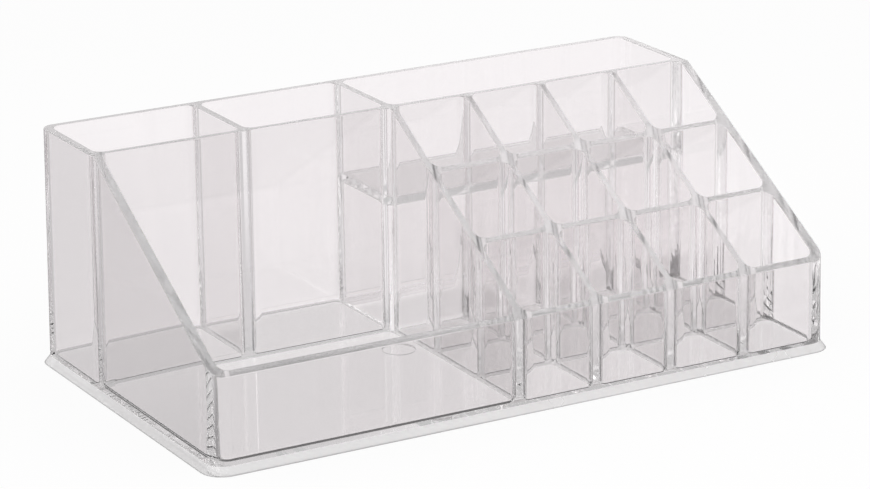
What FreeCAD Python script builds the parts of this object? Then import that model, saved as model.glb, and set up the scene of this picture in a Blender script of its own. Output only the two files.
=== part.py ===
"""A clear plastic vanity organizer: bonded panels on a flanged base, sizes in millimetres.

The object stands on z = 0 with its front towards -Y. The origin is the middle of its footprint.
All panels are cut from one hollow body along flat seams, so that each panel keeps its share of
the rounded inside corners and meets its neighbours face to face.
"""
import FreeCAD, Part
import os

Vec = FreeCAD.Vector

# Body outside: the rim is the upper edge of the tall rear part.
RIM_WIDTH = 220.0
RIM_DEPTH = 121.3
HEIGHT = 78.8
WALL_LEAN = 1.1          # each outer face stands this much further out at the table than at the rim
CORNER_RADIUS = 4.4      # upright outside corners
RIM_FLAT = 41.2          # level part of the end walls, from the rear face to the start of the slope
FRONT_HEIGHT = 30.5      # front edge of the slope, on the front face

# Foot flange: a bevelled lip round the base.
FLANGE_REACH = 1.9
FLANGE_HEIGHT = 2.6

# Panel thicknesses.
END_WALL = 2.9
FRONT_WALL = 2.5
REAR_WALL = 2.5
PARTITION = 2.2
REAR_DIVIDER = 2.3
CELL_WALL = 2.1
FLOOR = 2.8
SHELF_THICKNESS = 2.2

# Compartments.
REAR_DEPTH = 34.7        # inside, front to back, of the three rear compartments
TRAY_WIDTH = 102.3       # inside, left to right, of the open tray
SHELF_LEVEL = 47.5       # upper face of the raised shelf
CELL_COLUMNS = 4
CELL_ROWS = 3
POCKET_CORNER = 3.2      # upright inside corners
COVE = 0.8               # rounded foot of the inside walls
TRAY_COVE = 2.0          # the same in the tray, along the front and left outer walls
RIM_ROUND = 0.4          # edges of the rim, of the slope and of all wall tops

# Round recess under the tray floor, where the moulding was filled.
GATE_RADIUS = 5.5
GATE_DEPTH = 0.6
GATE_FROM_SIDE_WALL = 7.3
GATE_FROM_PARTITION = 17.2

OVERRUN = 5.0            # how far cutting shapes reach past what they cut
TOLERANCE = 1e-4         # points closer than this are taken as one

# Places worked out from the sizes above. Half sizes are taken at the rim.
HALF_WIDTH = RIM_WIDTH / 2
HALF_DEPTH = RIM_DEPTH / 2


def lean_at(level):
    """How far an outer face stands outside its place at the rim."""
    return WALL_LEAN * (HEIGHT - level) / HEIGHT


FRONT_FACE = -HALF_DEPTH - lean_at(FRONT_HEIGHT)
SLOPE_START = HALF_DEPTH - RIM_FLAT
LEFT_IN = -HALF_WIDTH + END_WALL
RIGHT_IN = HALF_WIDTH - END_WALL
FRONT_IN = FRONT_FACE + FRONT_WALL
REAR_IN = HALF_DEPTH - REAR_WALL
PARTITION_REAR = REAR_IN - REAR_DEPTH
PARTITION_FRONT = PARTITION_REAR - PARTITION
SIDE_LEFT = LEFT_IN + TRAY_WIDTH
SIDE_RIGHT = SIDE_LEFT + REAR_DIVIDER
REAR_SLOT = (TRAY_WIDTH - REAR_DIVIDER) / 2
DIVIDER_LEFT = LEFT_IN + REAR_SLOT
CELL_WIDTH = (RIGHT_IN - SIDE_RIGHT - (CELL_COLUMNS - 1) * CELL_WALL) / CELL_COLUMNS
CELL_DEPTH = (PARTITION_FRONT - FRONT_IN - (CELL_ROWS - 1) * CELL_WALL) / CELL_ROWS
BASE_TOP = FLOOR + TRAY_COVE  # the seam above the coves
SHELF_UNDER = SHELF_LEVEL - SHELF_THICKNESS
SLOPE_RISE = (HEIGHT - FRONT_HEIGHT) / (SLOPE_START - FRONT_FACE)

# The whole space, for cutting boxes that reach past the part on some side.
FAR_X = HALF_WIDTH + WALL_LEAN + FLANGE_REACH + OVERRUN
FAR_Y = HALF_DEPTH + WALL_LEAN + FLANGE_REACH + OVERRUN
FAR_Z = HEIGHT + OVERRUN


def box(x0, x1, y0, y1, z0, z1):
    return Part.makeBox(x1 - x0, y1 - y0, z1 - z0, Vec(x0, y0, z0))


def rounded_outline(half_width, half_depth, radius, level):
    """A closed rectangle with round corners, at one level, about the middle of the part."""
    in_x, in_y = half_width - radius, half_depth - radius
    slant = radius / 2 ** 0.5
    edges = []
    for sx, sy in ((1, -1), (1, 1), (-1, 1), (-1, -1)):
        side, end = Vec(sx * half_width, sy * in_y, level), Vec(sx * in_x, sy * half_depth, level)
        middle = Vec(sx * (in_x + slant), sy * (in_y + slant), level)
        first, last = (end, side) if sx == -sy else (side, end)
        if edges:
            edges.append(Part.LineSegment(edges[-1].EndPoint, first))
        edges.append(Part.Arc(first, middle, last))
    edges.append(Part.LineSegment(edges[-1].EndPoint, edges[0].StartPoint))
    return Part.Wire([edge.toShape() for edge in edges])


def tapered_block(lower, upper):
    """A solid with flat sides between two such outlines, each (outset from the rim, level)."""
    outlines = [rounded_outline(HALF_WIDTH + out, HALF_DEPTH + out, CORNER_RADIUS + out, level)
                for out, level in (lower, upper)]
    return Part.makeLoft(outlines, True, True)


def slope_cut():
    """Everything above the sloped front, which ends level with the rim."""
    reach = (FAR_Z - HEIGHT) / SLOPE_RISE
    low = FRONT_HEIGHT - SLOPE_RISE * (FAR_Y + FRONT_FACE)
    corners = [(-FAR_Y, low), (SLOPE_START + reach, FAR_Z), (-FAR_Y, FAR_Z)]
    outline = Part.makePolygon([Vec(-FAR_X, y, z) for y, z in corners + corners[:1]])
    return Part.Face(outline).extrude(Vec(2 * FAR_X, 0, 0))


def edges_along(shape, axis):
    """The straight edges that run along an axis."""
    return [edge for edge in shape.Edges
            if (edge.Vertexes[-1].Point - edge.Vertexes[0].Point).cross(axis).Length < TOLERANCE]


def edges_at(shape, level):
    return [edge for edge in shape.Edges
            if all(abs(vertex.Z - level) < TOLERANCE for vertex in edge.Vertexes)]


def pocket(x0, x1, y0, y1, bottom, top, coved_level, cove=COVE):
    """A hollow with round upright corners and one rounded end face."""
    space = box(x0, x1, y0, y1, bottom, top)
    space = space.makeFillet(POCKET_CORNER, edges_along(space, Vec(0, 0, 1)))
    return space.makeFillet(cove, edges_at(space, coved_level))


def tray():
    """The tray has the wide cove all round, but for the feet of the partition and of the lipstick side wall."""
    inset = TRAY_COVE + COVE
    wide = pocket(LEFT_IN, SIDE_LEFT, FRONT_IN, PARTITION_FRONT, FLOOR, FAR_Z, FLOOR, TRAY_COVE)
    narrow = pocket(LEFT_IN + inset, SIDE_LEFT, FRONT_IN + inset, PARTITION_FRONT, FLOOR, FAR_Z, FLOOR)
    return wide.fuse(narrow).removeSplitter()


def compartments():
    """The hollows that are open at the top, and the one under the shelf, open at the bottom."""
    rear = (PARTITION_REAR, REAR_IN)
    yield pocket(LEFT_IN, DIVIDER_LEFT, *rear, FLOOR, FAR_Z, FLOOR)
    yield pocket(DIVIDER_LEFT + REAR_DIVIDER, SIDE_LEFT, *rear, FLOOR, FAR_Z, FLOOR)
    yield pocket(SIDE_RIGHT, RIGHT_IN, *rear, SHELF_LEVEL, FAR_Z, SHELF_LEVEL)
    yield pocket(SIDE_RIGHT, RIGHT_IN, *rear, -OVERRUN, SHELF_UNDER, SHELF_UNDER)
    yield tray()
    for column in range(CELL_COLUMNS):
        for row in range(CELL_ROWS):
            x0 = SIDE_RIGHT + column * (CELL_WIDTH + CELL_WALL)
            y0 = FRONT_IN + row * (CELL_DEPTH + CELL_WALL)
            yield pocket(x0, x0 + CELL_WIDTH, y0, y0 + CELL_DEPTH, FLOOR, FAR_Z, FLOOR)


def gate_recess():
    place = Vec(SIDE_LEFT - GATE_FROM_SIDE_WALL, PARTITION_FRONT - GATE_FROM_PARTITION, -OVERRUN)
    return Part.makeCylinder(GATE_RADIUS, OVERRUN + GATE_DEPTH, place)


def on_rim(point):
    level = min(HEIGHT, FRONT_HEIGHT + SLOPE_RISE * (point.y - FRONT_FACE))
    return abs(point.z - level) < TOLERANCE


def rim_edges(body):
    """The edges of all wall tops, apart from the crease where the slope meets the level rim."""
    for edge in body.Edges:
        points = edge.discretize(5)
        crease = all(abs(point.y - SLOPE_START) < TOLERANCE for point in points)
        if not crease and all(on_rim(point) for point in points):
            yield edge


def hollow_body():
    """The whole organizer before it is divided into panels."""
    body = tapered_block((WALL_LEAN, 0), (0, HEIGHT))
    flange = tapered_block((WALL_LEAN + FLANGE_REACH, 0), (lean_at(FLANGE_HEIGHT), FLANGE_HEIGHT))
    body = body.fuse(flange).cut(slope_cut())
    body = body.cut(list(compartments()) + [gate_recess()])
    return body.makeFillet(RIM_ROUND, list(rim_edges(body)))


def panel_spaces():
    """Each panel's name and the box that holds it. Seams lie where the round corners end."""
    left, right = LEFT_IN + POCKET_CORNER, RIGHT_IN - POCKET_CORNER
    front, rear = FRONT_IN + POCKET_CORNER, REAR_IN - POCKET_CORNER
    before, behind = PARTITION_FRONT - POCKET_CORNER, PARTITION_REAR + POCKET_CORNER
    side = (SIDE_LEFT - POCKET_CORNER, SIDE_RIGHT + POCKET_CORNER)
    upright = (BASE_TOP, FAR_Z)
    yield "base_plate", (-FAR_X, FAR_X, -FAR_Y, FAR_Y, -OVERRUN, BASE_TOP)
    yield "left_end_wall", (-FAR_X, left, -FAR_Y, FAR_Y, *upright)
    yield "right_end_wall", (right, FAR_X, -FAR_Y, FAR_Y, *upright)
    yield "front_wall", (left, right, -FAR_Y, front, *upright)
    yield "rear_wall", (left, right, rear, FAR_Y, *upright)
    yield "long_partition", (left, right, before, behind, *upright)
    yield "rear_divider_left", (DIVIDER_LEFT - POCKET_CORNER, DIVIDER_LEFT + REAR_DIVIDER + POCKET_CORNER,
                                behind, rear, *upright)
    yield "rear_divider_right", (*side, behind, rear, *upright)
    yield "raised_shelf", (side[1], right, behind, rear, *upright)
    yield "lipstick_side_wall", (*side, front, before, *upright)
    for column in range(CELL_COLUMNS):
        cell_left = SIDE_RIGHT + column * (CELL_WIDTH + CELL_WALL)
        cell_right = cell_left + CELL_WIDTH
        if column < CELL_COLUMNS - 1:
            across = (cell_right - POCKET_CORNER, cell_right + CELL_WALL + POCKET_CORNER)
            yield f"lipstick_divider_{column + 1}", (*across, front, before, *upright)
        for row in range(CELL_ROWS - 1):
            wall_front = FRONT_IN + (row + 1) * CELL_DEPTH + row * CELL_WALL
            along = (wall_front - POCKET_CORNER, wall_front + CELL_WALL + POCKET_CORNER)
            name = f"row_wall_{row + 1}_{column + 1}"
            yield name, (cell_left + POCKET_CORNER, cell_right - POCKET_CORNER, *along, *upright)


def main():
    os.makedirs("parts", exist_ok=True)
    body = hollow_body()
    for name, space in panel_spaces():
        solids = body.common(box(*space)).Solids
        panel = solids[0] if len(solids) == 1 else Part.makeCompound(solids)
        panel.exportStep(f"parts/{name}.step")


main()
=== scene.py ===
"""A clear plastic vanity organizer on a white table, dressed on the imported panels."""
import math

import bmesh
import bpy
import numpy as np
from mathutils import Matrix, Vector
from mathutils.bvhtree import BVHTree
from mathutils.kdtree import KDTree


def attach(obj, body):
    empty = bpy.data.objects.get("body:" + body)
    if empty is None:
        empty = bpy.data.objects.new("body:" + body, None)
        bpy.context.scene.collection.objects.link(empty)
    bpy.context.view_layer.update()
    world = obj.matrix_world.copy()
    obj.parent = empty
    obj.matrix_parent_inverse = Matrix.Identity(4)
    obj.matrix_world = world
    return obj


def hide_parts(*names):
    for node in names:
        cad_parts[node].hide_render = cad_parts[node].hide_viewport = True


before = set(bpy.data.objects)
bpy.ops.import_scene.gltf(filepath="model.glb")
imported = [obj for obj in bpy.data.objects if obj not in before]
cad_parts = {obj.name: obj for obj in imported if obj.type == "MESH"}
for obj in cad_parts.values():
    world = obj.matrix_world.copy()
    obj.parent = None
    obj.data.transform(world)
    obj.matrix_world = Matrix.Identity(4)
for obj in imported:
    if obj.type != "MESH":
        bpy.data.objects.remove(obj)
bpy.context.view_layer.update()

# Colours
WHITE, BLACK = (1, 1, 1, 1), (0, 0, 0, 1)
TABLE_PALE = (0.93, 0.92, 0.92, 1)
# Glow of the table seen through the plastic; its level carries painted light and shade
TABLE_GLOW_IN_PLASTIC = (1, 0.975, 0.985, 1)
DIM_ROOM = (0.5, 0.5, 0.5, 1)
DEEP_TINT, PALE_TINT = (0.955, 0.945, 0.948, 1), (0.965, 0.956, 0.957, 1)
LAMP_TINT = (0.94, 0.94, 0.94, 1)
# Painted shade along the lowest edge of the foot bevel
PAINTED_FOOT_SHADE_GREY = (0.4, 0.4, 0.4, 1)

# Plastic: the noise is per metre, and the painted shade is a grey band on the lowest part of the foot bevel,
# where it meets the table
PLASTIC_IOR = 1.57
HAZE_SCALE, HAZE_DETAIL = 60.0, 3.0
POLISHED, BLURRED = 0.01, 0.41
SATIN_SHARE = 0.5
PAINTED_FOOT_SHADE_HEIGHT = 0.0004

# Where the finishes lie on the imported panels, in metres from the middle and up from the table
BEVEL_TOP, BEVEL_FROM_SIDE, BEVEL_FROM_END = 0.0027, 0.1095, 0.06
BEVEL_NORMAL_RISE, BEVEL_RISE_RANGE = 0.5, 0.25
RIM_BOTTOM, RIM_NORMAL_RISE = 0.029, 0.3

# Places of the finishes among a mesh's materials
CLEAR, SEAM, SATIN_BEVEL, BLURRED_RIM = range(4)

# Closeness of points and faces on neighbouring panels
WELD_GAP, CORNER_GAP, SEAM_GAP, TINY_AREA = 1e-6, 3e-6, 4e-6, 1e-20
OPPOSED = -0.99
SMOOTH_COSINE = math.cos(math.radians(32))

# Stage
TABLE_RADIUS, TABLE_SEGMENTS, TABLE_DROP = 8.0, 96, 0.0002
LAMP_TARGET = Vector((0, 0, 0.04))
SENSOR_WIDTH = 36.0
PHOTO_WIDTH_PIXELS, FOCAL_PIXELS = 870, 3644.32
PLASTIC_BOUNCES, SEAM_PASSES = 96, 64


class Socket:
    """One output of a shader node; arithmetic on it adds Math nodes."""

    def __init__(self, tree, output):
        self.tree, self.output = tree, output

    def math(self, operation, *values):
        return self.tree.node("ShaderNodeMath", {"operation": operation}, dict(enumerate(values)))

    def __add__(self, other):
        return self.math("ADD", self, other)

    def __sub__(self, other):
        return self.math("SUBTRACT", self, other)

    def __rsub__(self, other):
        return self.math("SUBTRACT", other, self)

    def __mul__(self, other):
        return self.math("MULTIPLY", self, other)

    def __truediv__(self, other):
        return self.math("DIVIDE", self, other)

    def size(self):
        return self.math("ABSOLUTE", self)

    def clamped(self):
        return self.math("MINIMUM", self.math("MAXIMUM", self, 0.0), 1.0)

    def rising(self, span):
        """0 up to zero, then straight up to 1 at the span."""
        return (self / span).clamped()

    __radd__ = __add__
    __rmul__ = __mul__


class Tree:
    """A node tree that is filled in with one method."""

    def __init__(self, owner):
        owner.use_nodes = True
        self.nodes, self.links = owner.node_tree.nodes, owner.node_tree.links
        self.nodes.clear()

    def node(self, kind, settings=None, inputs=None, output=0):
        made = self.nodes.new(kind)
        for name, value in (settings or {}).items():
            setattr(made, name, value)
        for name, value in (inputs or {}).items():
            if isinstance(value, Socket):
                self.links.new(value.output, made.inputs[name])
            else:
                made.inputs[name].default_value = value
        return Socket(self, made.outputs[output]) if made.outputs else made

    def colour_between(self, share, one, two):
        return self.node("ShaderNodeMix", {"data_type": "RGBA"}, {0: share, 6: one, 7: two}, 2)


def material(name):
    made = bpy.data.materials.new(name)
    return made, Tree(made)


def clear_plastic(name, roughness, satin=0.0):
    """Water-white polystyrene with a fine haze. Lamps shine through it, so that the table under it is lit.
    A satin share scatters light, and the lowest part of a satin face is painted grey, as shade where it meets
    the table."""
    made, tree = material(name)
    place = tree.node("ShaderNodeTexCoord", output="Object")
    haze = tree.node("ShaderNodeTexNoise", {}, {
        "Vector": place, "Scale": HAZE_SCALE, "Detail": HAZE_DETAIL}, "Fac")
    tint = tree.colour_between(haze, DEEP_TINT, PALE_TINT)
    if satin:
        # Painted shade: a grey band on the lowest part of a satin face, where it meets the table
        height = tree.node("ShaderNodeSeparateXYZ", {}, {"Vector": place}, "Z")
        tint = tree.colour_between(height.rising(PAINTED_FOOT_SHADE_HEIGHT), PAINTED_FOOT_SHADE_GREY, tint)
    plastic = tree.node("ShaderNodeBsdfPrincipled", {}, {
        "Base Color": tint, "Roughness": haze * roughness, "IOR": PLASTIC_IOR,
        "Transmission Weight": 1 - satin})
    lamp_light = tree.node("ShaderNodeBsdfTransparent", {}, {"Color": LAMP_TINT})
    shadow_ray = tree.node("ShaderNodeLightPath", output="Is Shadow Ray")
    surface = tree.node("ShaderNodeMixShader", {}, {0: shadow_ray, 1: plastic, 2: lamp_light})
    tree.node("ShaderNodeOutputMaterial", {}, {"Surface": surface})
    return made


def bonded_seam():
    """The hidden face between two panels: the plastic runs through it unbroken."""
    made, tree = material("bonded_seam")
    unbroken = tree.node("ShaderNodeBsdfTransparent", {}, {"Color": WHITE})
    tree.node("ShaderNodeOutputMaterial", {}, {"Surface": unbroken})
    return made


def ray_kinds(tree):
    """Whether a ray comes from the eye, through plastic or mirrored, and how often it was mirrored."""
    return (tree.node("ShaderNodeLightPath", output=kind) for kind in (
        "Is Camera Ray", "Is Transmission Ray", "Is Glossy Ray", "Glossy Depth"))


def white_table():
    """A pale table that glows to rays through the plastic. Straight through the plastic it is nearly as white
    as to the eye, less a faint painted shade under the organizer. To light that was turned inside the plastic
    its glow is painted dimmer towards the front and the left than towards the back and the right, as painted
    light and shade, and to light that was turned once it is painted darkest under the foot, as painted shade."""
    front_left, more_right, more_back, less_back_right = 0.36, 0.42, 0.33, 0.14
    middle_half, middle_width = 0.03, 0.06
    shade_half_width, shade_half_depth, shade_fade, shade_loss = 0.113, 0.064, 0.01, 0.09
    foot_half_width, foot_front, foot_back = 0.111, 0.064, 0.053
    foot_fade, foot_front_fade, foot_shade_level = 0.004, 0.002, 0.15
    mirrored_level, plain_white = 0.05, 0.9

    made, tree = material("white_table")
    to_eye, through, mirrored, mirrors = ray_kinds(tree)
    place = tree.node("ShaderNodeTexCoord", output="Object")
    x, y = (tree.node("ShaderNodeSeparateXYZ", {}, {"Vector": place}, axis) for axis in "XY")
    # Painted light: the table's glow to turned light rises towards the back and the right
    right, back = ((axis + middle_half).rising(middle_width) for axis in (x, y))
    turned = front_left + right * more_right + back * more_back - right * back * less_back_right
    # Painted shade under the organizer, faint to rays straight through the plastic
    shade = (shade_half_width - x.size()).rising(shade_fade)
    shade = shade * (shade_half_depth - y.size()).rising(shade_fade)
    straight = 1 - shade * shade_loss
    # Painted shade under the foot, darkest to light turned once inside the plastic
    foot = (foot_half_width - x.size()).rising(foot_fade) * (foot_back - y).rising(foot_fade)
    foot = foot * (y + foot_front).rising(foot_front_fade)
    turned_once = 1 - (mirrors - 1).clamped()
    turned = turned - foot * turned_once * (turned - foot_shade_level)
    in_plastic = straight + mirrors.clamped() * (turned - straight)
    level = through * in_plastic + (1 - through) * mirrored * mirrored_level
    seen = to_eye * plain_white + (through + mirrored).clamped()
    top = tree.node("ShaderNodeBsdfDiffuse", {}, {"Color": TABLE_PALE})
    colour = tree.colour_between(to_eye, tree.colour_between(level, BLACK, TABLE_GLOW_IN_PLASTIC), WHITE)
    white = tree.node("ShaderNodeEmission", {}, {"Color": colour, "Strength": 1.0})
    surface = tree.node("ShaderNodeMixShader", {}, {0: seen.clamped(), 1: top, 2: white})
    tree.node("ShaderNodeOutputMaterial", {}, {"Surface": surface})
    return made


def studio():
    """A white room to the eye and straight through the plastic. It is dimmer in reflections and to light that
    was turned inside the plastic, most of all behind the organizer."""
    side_half, side_width = 0.2, 0.4
    turned_loss, more_loss_behind, mirrored_share = 0.4, 0.4, 0.2

    world = bpy.data.worlds.new("studio")
    bpy.context.scene.world = world
    tree = Tree(world)
    to_eye, through, mirrored, mirrors = ray_kinds(tree)
    direction = tree.node("ShaderNodeTexCoord", output="Generated")
    behind = tree.node("ShaderNodeSeparateXYZ", {}, {"Vector": direction}, "Y")
    loss = turned_loss + (behind + side_half).rising(side_width) * more_loss_behind
    clear = to_eye + through * (1 - mirrors.clamped() * loss) + (1 - through) * mirrored * mirrored_share
    colour = tree.colour_between(clear.clamped(), DIM_ROOM, WHITE)
    light = tree.node("ShaderNodeBackground", {}, {"Color": colour, "Strength": 1.0})
    tree.node("ShaderNodeOutputWorld", {}, {"Surface": light})


def panel_faces(node):
    """A packed panel as welded points and triangles."""
    mesh = bmesh.new()
    mesh.from_mesh(node.data)
    bmesh.ops.remove_doubles(mesh, verts=mesh.verts, dist=WELD_GAP)
    bmesh.ops.triangulate(mesh, faces=mesh.faces)
    mesh.verts.index_update()
    points = np.array([vert.co for vert in mesh.verts])
    faces = np.array([[vert.index for vert in face.verts] for face in mesh.faces])
    mesh.free()
    return points, faces


def face_crosses(points, faces):
    """Face normals as long as twice the face's area."""
    a, b, c = (points[faces[:, k]] for k in range(3))
    return np.cross(b - a, c - a)


def face_normals(points, faces):
    crosses = face_crosses(points, faces)
    return crosses / np.maximum(np.linalg.norm(crosses, axis=1, keepdims=True), TINY_AREA)


def face_areas(points, faces):
    return np.linalg.norm(face_crosses(points, faces), axis=1) / 2


def seam_faces(name, panels, trees):
    """Which faces of a panel lie against a neighbour."""
    points, faces, normals = panels[name]
    found = np.zeros(len(faces), bool)
    for k, face in enumerate(faces):
        middle = Vector(points[face].mean(0))
        for other, tree in trees.items():
            if other != name:
                hit = tree.find_nearest(middle, SEAM_GAP)
                if hit[0] is not None and hit[1].dot(Vector(normals[k])) < OPPOSED:
                    found[k] = True
                    break
    return found


def smooth_normals(panels, seams):
    """Corner normals that run on smoothly from panel to panel. The larger faces lead, so that flat walls
    stay flat."""
    corners, leads = [], []
    for name, (points, faces, normals) in panels.items():
        areas = face_areas(points, faces)
        for k in np.flatnonzero(~seams[name]):
            corners += [(point, normals[k]) for point in points[faces[k]]]
            leads += [areas[k] ** 2] * 3
    places = KDTree(len(corners))
    for k, corner in enumerate(corners):
        places.insert(corner[0], k)
    places.balance()
    shell_normals, leads = np.array([corner[1] for corner in corners]), np.array(leads)
    smooth = {}
    for name, (points, faces, normals) in panels.items():
        near = [np.array([hit[1] for hit in places.find_range(point, CORNER_GAP)], int) for point in points]
        result = np.repeat(normals[:, None, :], 3, axis=1)
        for k in np.flatnonzero(~seams[name]):
            for i in range(3):
                around = near[faces[k, i]]
                alike = around[shell_normals[around] @ normals[k] > SMOOTH_COSINE]
                total = (shell_normals[alike] * leads[alike, None]).sum(0)
                length = np.linalg.norm(total)
                if length > 0:
                    result[k, i] = total / length
        smooth[name] = result
    return smooth


def face_finishes(name, points, faces, normals, seam):
    """Which finish each face has. The rear bevel stays clear, and so does the shelf."""
    heights, middles, rise = points[faces][:, :, 2], points[faces].mean(1), normals[:, 2]
    bevel = (heights.max(1) < BEVEL_TOP) & (abs(rise - BEVEL_NORMAL_RISE) < BEVEL_RISE_RANGE)
    bevel &= (abs(middles[:, 0]) > BEVEL_FROM_SIDE) | (middles[:, 1] < -BEVEL_FROM_END)
    bevel &= middles[:, 1] < BEVEL_FROM_END
    rim = (heights.min(1) > RIM_BOTTOM) & (rise > RIM_NORMAL_RISE) & ~seam
    rim &= name != "raised_shelf"
    return (seam * SEAM + bevel * SATIN_BEVEL + rim * BLURRED_RIM).astype(np.int32)


def dress_panels():
    """Each panel as a closed mesh of its own, clear outside and unbroken at its seams."""
    panels = {}
    for name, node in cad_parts.items():
        points, faces = panel_faces(node)
        panels[name] = points, faces, face_normals(points, faces)
    trees = {name: BVHTree.FromPolygons(points.tolist(), faces.tolist())
             for name, (points, faces, normals) in panels.items()}
    seams = {name: seam_faces(name, panels, trees) for name in panels}
    smooth = smooth_normals(panels, seams)
    finishes = {CLEAR: clear_plastic("clear_plastic", POLISHED), SEAM: bonded_seam(),
                SATIN_BEVEL: clear_plastic("satin_bevel", BLURRED, SATIN_SHARE),
                BLURRED_RIM: clear_plastic("blurred_rim", BLURRED)}
    for name, (points, faces, normals) in panels.items():
        mesh = bpy.data.meshes.new(name + "_clear")
        mesh.from_pydata(points.tolist(), [], faces.tolist())
        for place in sorted(finishes):
            mesh.materials.append(finishes[place])
        mesh.polygons.foreach_set("material_index", face_finishes(name, points, faces, normals, seams[name]))
        mesh.polygons.foreach_set("use_smooth", np.ones(len(faces), bool))
        mesh.normals_split_custom_set(smooth[name].reshape(-1, 3).tolist())
        piece = bpy.data.objects.new(name + "_clear", mesh)
        bpy.context.scene.collection.objects.link(piece)
        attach(piece, "root")
        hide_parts(name)


def table():
    """A wide round table top, a hair under the foot."""
    mesh = bmesh.new()
    bmesh.ops.create_circle(mesh, cap_ends=True, segments=TABLE_SEGMENTS, radius=TABLE_RADIUS)
    data = bpy.data.meshes.new("table")
    mesh.to_mesh(data)
    mesh.free()
    data.materials.append(white_table())
    made = bpy.data.objects.new("table", data)
    made.location.z = -TABLE_DROP
    bpy.context.scene.collection.objects.link(made)


def softbox(name, place, size, power, mirrored):
    """A square lamp that faces the organizer. Only a mirrored one is seen in the plastic."""
    lamp = bpy.data.lights.new(name, "AREA")
    lamp.shape, lamp.size, lamp.size_y, lamp.energy = "RECTANGLE", size[0], size[1], power
    made = bpy.data.objects.new(name, lamp)
    made.location = place
    made.rotation_euler = (LAMP_TARGET - Vector(place)).to_track_quat("-Z", "Y").to_euler()
    made.visible_glossy = made.visible_transmission = mirrored
    bpy.context.scene.collection.objects.link(made)


def camera():
    """The photo's camera, as fitted to the organizer's outline and walls."""
    lens = bpy.data.cameras.new("camera")
    lens.sensor_fit, lens.sensor_width = "HORIZONTAL", SENSOR_WIDTH
    lens.lens = SENSOR_WIDTH * FOCAL_PIXELS / PHOTO_WIDTH_PIXELS
    lens.clip_start, lens.clip_end = 0.01, 100
    made = bpy.data.objects.new("camera", lens)
    right = Vector((0.868056, -0.496361, -0.010227))
    down = Vector((-0.159293, -0.258950, -0.952665))
    forward = Vector((0.470218, 0.828596, -0.303849))
    place = Vector((-0.551997, -0.972678, 0.393993))
    made.matrix_world = Matrix.Translation(place) @ Matrix((right, -down, -forward)).transposed().to_4x4()
    bpy.context.scene.collection.objects.link(made)
    bpy.context.scene.camera = made


def light_paths():
    """Enough bounces for a look through every wall of the organizer."""
    cycles = bpy.context.scene.cycles
    cycles.max_bounces = cycles.transmission_bounces = cycles.glossy_bounces = PLASTIC_BOUNCES
    cycles.transparent_max_bounces = SEAM_PASSES
    cycles.caustics_reflective = cycles.caustics_refractive = False


bpy.context.scene.view_settings.view_transform = "Standard"
dress_panels()
table()
studio()
softbox("overhead_softbox", (0.1, -0.6, 1.5), (1.0, 1.0), 13.0, mirrored=False)
softbox("left_softbox", (-1.6, -0.4, 0.9), (0.8, 0.8), 6.0, mirrored=True)
camera()
light_paths()
